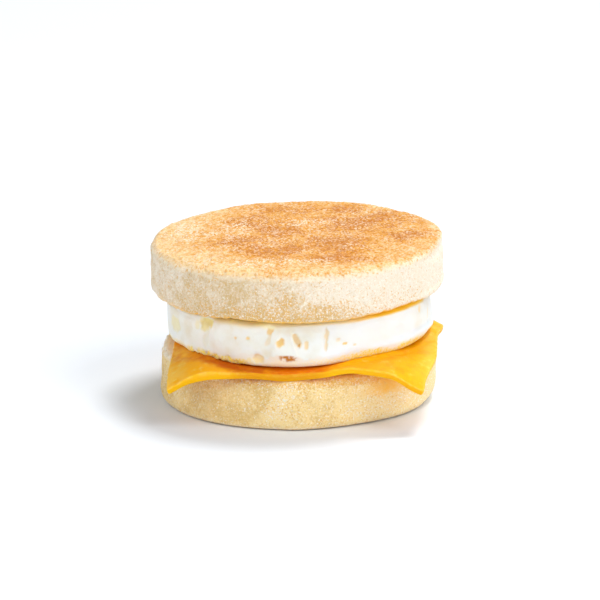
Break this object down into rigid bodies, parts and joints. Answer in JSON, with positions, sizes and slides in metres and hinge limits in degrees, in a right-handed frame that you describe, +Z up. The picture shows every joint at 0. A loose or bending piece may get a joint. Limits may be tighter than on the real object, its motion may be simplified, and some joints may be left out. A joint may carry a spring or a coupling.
{
  "type": "breakfast sandwich",
  "caption": "Breakfast sandwich: griddled split muffin around a round egg patty and a draped slice of processed cheese, resting on its flat base.",
  "frame": {"origin": "centre of the whole sandwich's bounding box in X and Y, on the plane it rests on", "axes": "+Z up, through the stack from the muffin heel to the muffin crown; the side seen in the picture faces -Y; +X to the right of that side"},
  "size_m": [0.0952, 0.0948, 0.0538],
  "materials": {
    "muffin_heel": "matt, porous, lightly floured bread",
    "cheese_slice": "satin, softened cheese",
    "egg_patty": "moist satin cooked egg",
    "muffin_crown": "matt, porous, griddle-browned bread"
  },
  "bodies": {
    "root": {"muffin_heel": "muffin_heel", "cheese_slice": "cheese_slice", "egg_patty": "egg_patty", "muffin_crown": "muffin_crown"}
  },
  "joints": []
}
